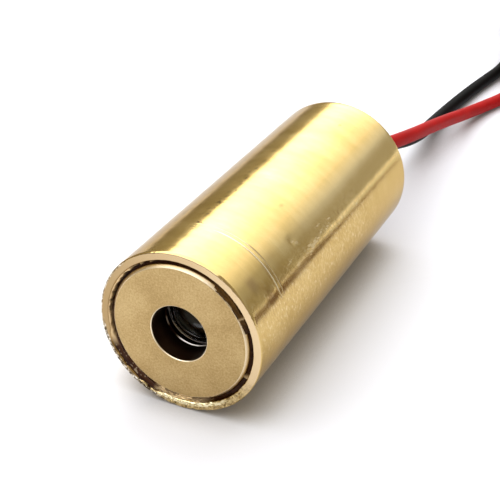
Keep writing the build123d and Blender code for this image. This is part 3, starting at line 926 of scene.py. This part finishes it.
# The resin lies deep in the gap, but stands high in a patch at the upper right, at the
# lower left and, as a crust, at the bottom. Over it brass shows as a narrow lip, as teeth
# and as two burrs.
patch = span(18, 60, 12)
filled = span(198, 252, 8)
crust = span(250, 292, 8)
burrs = span(335.5, 337.0, 0.8) + span(27.2, 28.4, 0.8)
lip_edge = 2.655 + 0.03 * smooth_noise(dice, gap_shape, (1, 120))
narrow = span(128, 202, 10) * outside_of(lip_edge, 0.02)
teeth = np.clip(smooth_noise(dice, gap_shape, (1, 150)) * 3.0 - 0.9, 0, 1)
teeth = span(92, 168, 6) * teeth * outside_of(2.62, 0.02)
raised = np.clip(narrow + teeth + 0.8 * burrs, 0, 1)
gap_depth = 0.24 + 0.06 * lumps
for level, share in (
    (0.035 + 0.03 * (lumps + 0.4) + 0.10 * ramped(gap_radius, 2.64, 0.06), patch),
    (0.07 + 0.05 * lumps, filled),
    (0.03 + 0.10 * np.abs(lumps), crust),
    (0.02 + 0.02 * np.abs(small), raised),
):
    gap_depth = blended(gap_depth, level, share)
gap_depth = np.clip(gap_depth, shallowest, deepest)

# Beside the cell's chamfer the ring stays under the metal, but for the patch that laps over
on_chamfer = np.clip(gap_radius - (neck - chamfer), 0, 0.10)
lap_edge = 2.465 + 0.035 * middle + 0.045 * coarse + 0.10 * (1 - patch)
laps_over = (patch > 0.03) * outside_of(lap_edge, 0.01)
beside = np.where(laps_over > 0.5, 0.006 + 0.012 * np.abs(lumps), on_chamfer * 1.15 + 0.02)
on_neck = gap_radius < neck_reach
gap_depth = np.where(on_neck, np.minimum(beside, gap_depth), gap_depth)
gap_depth = np.where(on_neck & (laps_over < 0.5), beside, gap_depth)
gap_depth = np.where(on_top, gap_depth, gap_bottom)
adhesive = grid_piece("gap_adhesive", revolved(gap_radius, gap_depth, spin), True, True)

dark_resin = np.array([0.022, 0.007, 0.004])
light_resin = np.array([0.070, 0.026, 0.010])
patch_resin = np.array([0.080, 0.037, 0.006])
brass_crumb = np.array([0.62, 0.45, 0.24])
dull_crumb = np.array([0.45, 0.36, 0.24])
light_share = np.clip(0.5 + 0.8 * lumps, 0, 1)[..., None]
metal = np.clip(crust * (0.35 + 0.9 * (lumps > 0.0)) + 0.6 * burrs + 0.9 * teeth + narrow, 0, 1)
dull_share = 0.7 * (filled * (small > 0.72))[..., None]
stain = blended(dark_resin, light_resin, light_share)
stain = blended(stain, patch_resin * (0.35 + 1.1 * light_share), patch[..., None])
stain = blended(stain, brass_crumb, metal[..., None])
stain = blended(stain, dull_crumb, dull_share)
point_values(adhesive, "stain", stain)
point_values(adhesive, "metal", metal)
resin_paint = Nodes("brown_adhesive")
resin_paint.feed(
    Base_Color=resin_paint.stored("stain", "Color"), Metallic=resin_paint.stored("metal")
)
resin_paint.set(Roughness=0.36, Specular_IOR_Level=0.08)
resin_paint.bump(resin_paint.noise(16000, 3.0, 0.6), 6 * micrometre)
finish_piece(adhesive, resin_paint, "brown_adhesive", "front_adhesive")

# Lens: two domes on a flange, a low lip round the front dome's middle
flange, front_optic, rear_optic = 1.90, 1.50, 1.30
front_sag, rear_sag = 0.30, 0.34
back = seat + 0.80
flange_chamfer = 0.02
lip_outside, lip_inside, lip_front = 1.16, 1.04, 1.335
lip_rounding = [(0.0, 0.165), (0.002, 0.010), (0.010, 0.001), (0.025, 0.0)]
pole = 0.002


def dome(radius, sag, base, sign, low, high, count):
    """Part of a spherical cap: depth = base + sign * (sqrt(R^2 - r^2) - (R - sag))."""
    ball = (radius ** 2 + sag ** 2) / (2 * sag)
    r = np.linspace(low, high, count)
    return np.stack([r, base + sign * (np.sqrt(ball ** 2 - r ** 2) - (ball - sag))], axis=1)


lens_rows = np.vstack([
    dome(rear_optic, rear_sag, back, 1, pole, rear_optic, 16),
    [(rear_optic + 0.02, back), (flange - flange_chamfer, back), (flange, back - flange_chamfer)],
    [(flange, seat + flange_chamfer), (flange - flange_chamfer, seat), (front_optic + 0.02, seat)],
    dome(front_optic, front_sag, seat, -1, front_optic, lip_outside + 0.01, 8),
    [(lip_outside - inset, lip_front + drop) for inset, drop in lip_rounding],
    [(lip_inside + inset, lip_front + drop) for inset, drop in lip_rounding[::-1]],
    dome(front_optic, front_sag, seat, -1, lip_inside - 0.01, pole, 18),
])
lens_radius, lens_depth = lens_rows[:, :1], lens_rows[:, 1:]
lens = grid_piece("moulded_lens", revolved(lens_radius, lens_depth), True, True)
on_lip = (np.abs(lens_radius - lip_outside + 0.017) < 0.009) & (lens_depth < lip_front + 0.015)
lens_x = lens_radius * np.cos(turn)
lens_z = lens_radius * np.sin(turn)
# painted glint: a pinkish frosted spot on the front dome, in place of a reflection from inside
glint_slant = 0.7
lens_glint_spot = bell(lens_x + glint_slant * lens_z - 0.50, 0.16) * bell(lens_z - 0.10, 0.22)
lens_glint_spot = lens_glint_spot * (lens_depth < seat - 0.06)
point_values(lens, "frost_and_glint", np.clip(0.45 * on_lip + 0.9 * lens_glint_spot, 0, 1))
lens_paint = Nodes("lens_glass")
lens_paint.set(IOR=1.52)
# frosted lip, and the painted glint: pinkish, less clear and rougher
frost_and_glint = lens_paint.stored("frost_and_glint")
lens_paint.feed(
    Base_Color=lens_paint.mix(frost_and_glint, (0.93, 0.96, 0.97), (0.95, 0.66, 0.55)),
    Transmission_Weight=lens_paint.math("SUBTRACT", 1.0, frost_and_glint),
    Roughness=lens_paint.math("ADD", lens_paint.times(frost_and_glint, 0.3), 0.02),
)
finish_piece(lens, lens_paint, "lens_glass", "collimating_lens")

# Inner pieces keep their CAD shapes: finish, metal share, grain, relief in micrometres, dark
# and light tone, roughness of both, nodes
inner_finishes = [
    (
        "blackened_ring", 0.0, 9000, 2.0, (0.010, 0.010, 0.010), (0.028, 0.026, 0.024),
        (0.50, 0.75), ["lens_retainer"],
    ),
    (
        "turned_carrier", 1.0, 14000, 1.0, (0.52, 0.36, 0.17), (0.74, 0.56, 0.30),
        (0.28, 0.45), ["diode_holder"],
    ),
    (
        "gold_flash", 1.0, 5000, 0.4, (0.78, 0.56, 0.24), (0.94, 0.76, 0.42),
        (0.12, 0.28), ["diode_header", "diode_cap", "laser_submount", "header_pins"],
    ),
    (
        "semiconductor", 0.4, 12000, 0.1, (0.10, 0.10, 0.13), (0.22, 0.23, 0.28),
        (0.08, 0.16), ["laser_chip", "monitor_photodiode"],
    ),
    (
        "solder_mask", 0.0, 7000, 1.2, (0.012, 0.10, 0.045), (0.03, 0.20, 0.09),
        (0.28, 0.42), ["driver_board"],
    ),
    (
        "moulded_epoxy", 0.0, 11000, 2.5, (0.012, 0.012, 0.013), (0.035, 0.035, 0.036),
        (0.45, 0.62), ["drive_transistor"],
    ),
    (
        "tin_solder", 1.0, 4200, 1.5, (0.52, 0.52, 0.52), (0.80, 0.80, 0.79),
        (0.18, 0.38), ["pin_solder", "lead_solder"],
    ),
]
for name, metal_share, grain_scale, relief_height, dark, light, roughness, nodes in inner_finishes:
    paint = Nodes(name)
    paint.set(Metallic=metal_share)
    fleck = paint.noise(grain_scale, 4.0, 0.6)
    patchy = paint.noise(grain_scale / 9, 3.0, 0.55)
    mottle = paint.blend(fleck, patchy, 0.4)
    paint.feed(
        Base_Color=paint.ramp(mottle, [(0.35, dark), (0.65, light)]),
        Roughness=paint.ramp(mottle, [(0.35, roughness[0]), (0.65, roughness[1])]),
    )
    paint.bump(fleck, relief_height * micrometre)
    for node in nodes:
        dress(node, paint)

# Chip parts: a body with a tinned end on each side of its middle
body_half_share = 0.29
tinned_end = (0.74, 0.74, 0.72)
for name, dark, light, node in (
    ("resistor_body", (0.015, 0.015, 0.017), (0.05, 0.05, 0.055), "driver_resistor"),
    ("capacitor_body", (0.30, 0.20, 0.11), (0.45, 0.32, 0.19), "driver_capacitor"),
):
    low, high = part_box(node)
    size = high - low
    long_way = max(range(3), key=lambda way: size[way])
    body_middle = (low[long_way] + high[long_way]) / 2
    paint = Nodes(name)
    fleck = paint.noise(8000, 4.0, 0.6)
    body_tone = paint.ramp(fleck, [(0.35, dark), (0.65, light)])
    split = paint.add("ShaderNodeSeparateXYZ")
    paint.link(paint.place, split.inputs["Vector"])
    off_middle = paint.math("SUBTRACT", split.outputs[long_way], body_middle)
    off_middle = paint.math("ABSOLUTE", off_middle)
    on_end = paint.math("GREATER_THAN", off_middle, body_half_share * size[long_way])
    paint.feed(
        Base_Color=paint.mix(on_end, body_tone, tinned_end),
        Metallic=on_end,
        Roughness=paint.ramp(fleck, [(0.3, 0.24), (0.7, 0.42)]),
    )
    paint.bump(fleck, 1.5 * micrometre)
    dress(node, paint)

for name, dark, light, ior, roughness, node in (
    ("window_glass", (0.90, 0.95, 0.96), (0.96, 0.98, 0.98), 1.52, 0.02, "cap_window"),
    ("seal_glass", (0.16, 0.28, 0.26), (0.34, 0.48, 0.44), 1.50, 0.08, "pin_seals"),
):
    paint = Nodes(name)
    paint.set(IOR=ior, Transmission_Weight=0.9, Roughness=roughness)
    cloudy = paint.noise(3000, 3.0, 0.5)
    paint.feed(Base_Color=paint.ramp(cloudy, [(0.35, dark), (0.65, light)]))
    dress(node, paint)

for node in ("red_lead_core", "black_lead_core"):
    dress(node, core_paint)

# Potting at the rear: dark, smooth in waves, with light dust
epoxy, dull_epoxy, dust_tone = (0.008, 0.008, 0.008), (0.022, 0.021, 0.020), (0.09, 0.085, 0.075)
potting_paint = Nodes("cured_potting")
dust = potting_paint.noise(5200, 5.0, 0.65)
flow = potting_paint.noise(700, 3.0, 0.5)
potting_paint.feed(
    Base_Color=potting_paint.ramp(dust, [(0.40, epoxy), (0.66, dull_epoxy), (0.78, dust_tone)]),
    Roughness=potting_paint.ramp(flow, [(0.3, 0.16), (0.7, 0.34)]),
)
potting_paint.bump(flow, 40 * micrometre)
dress("rear_potting", potting_paint)
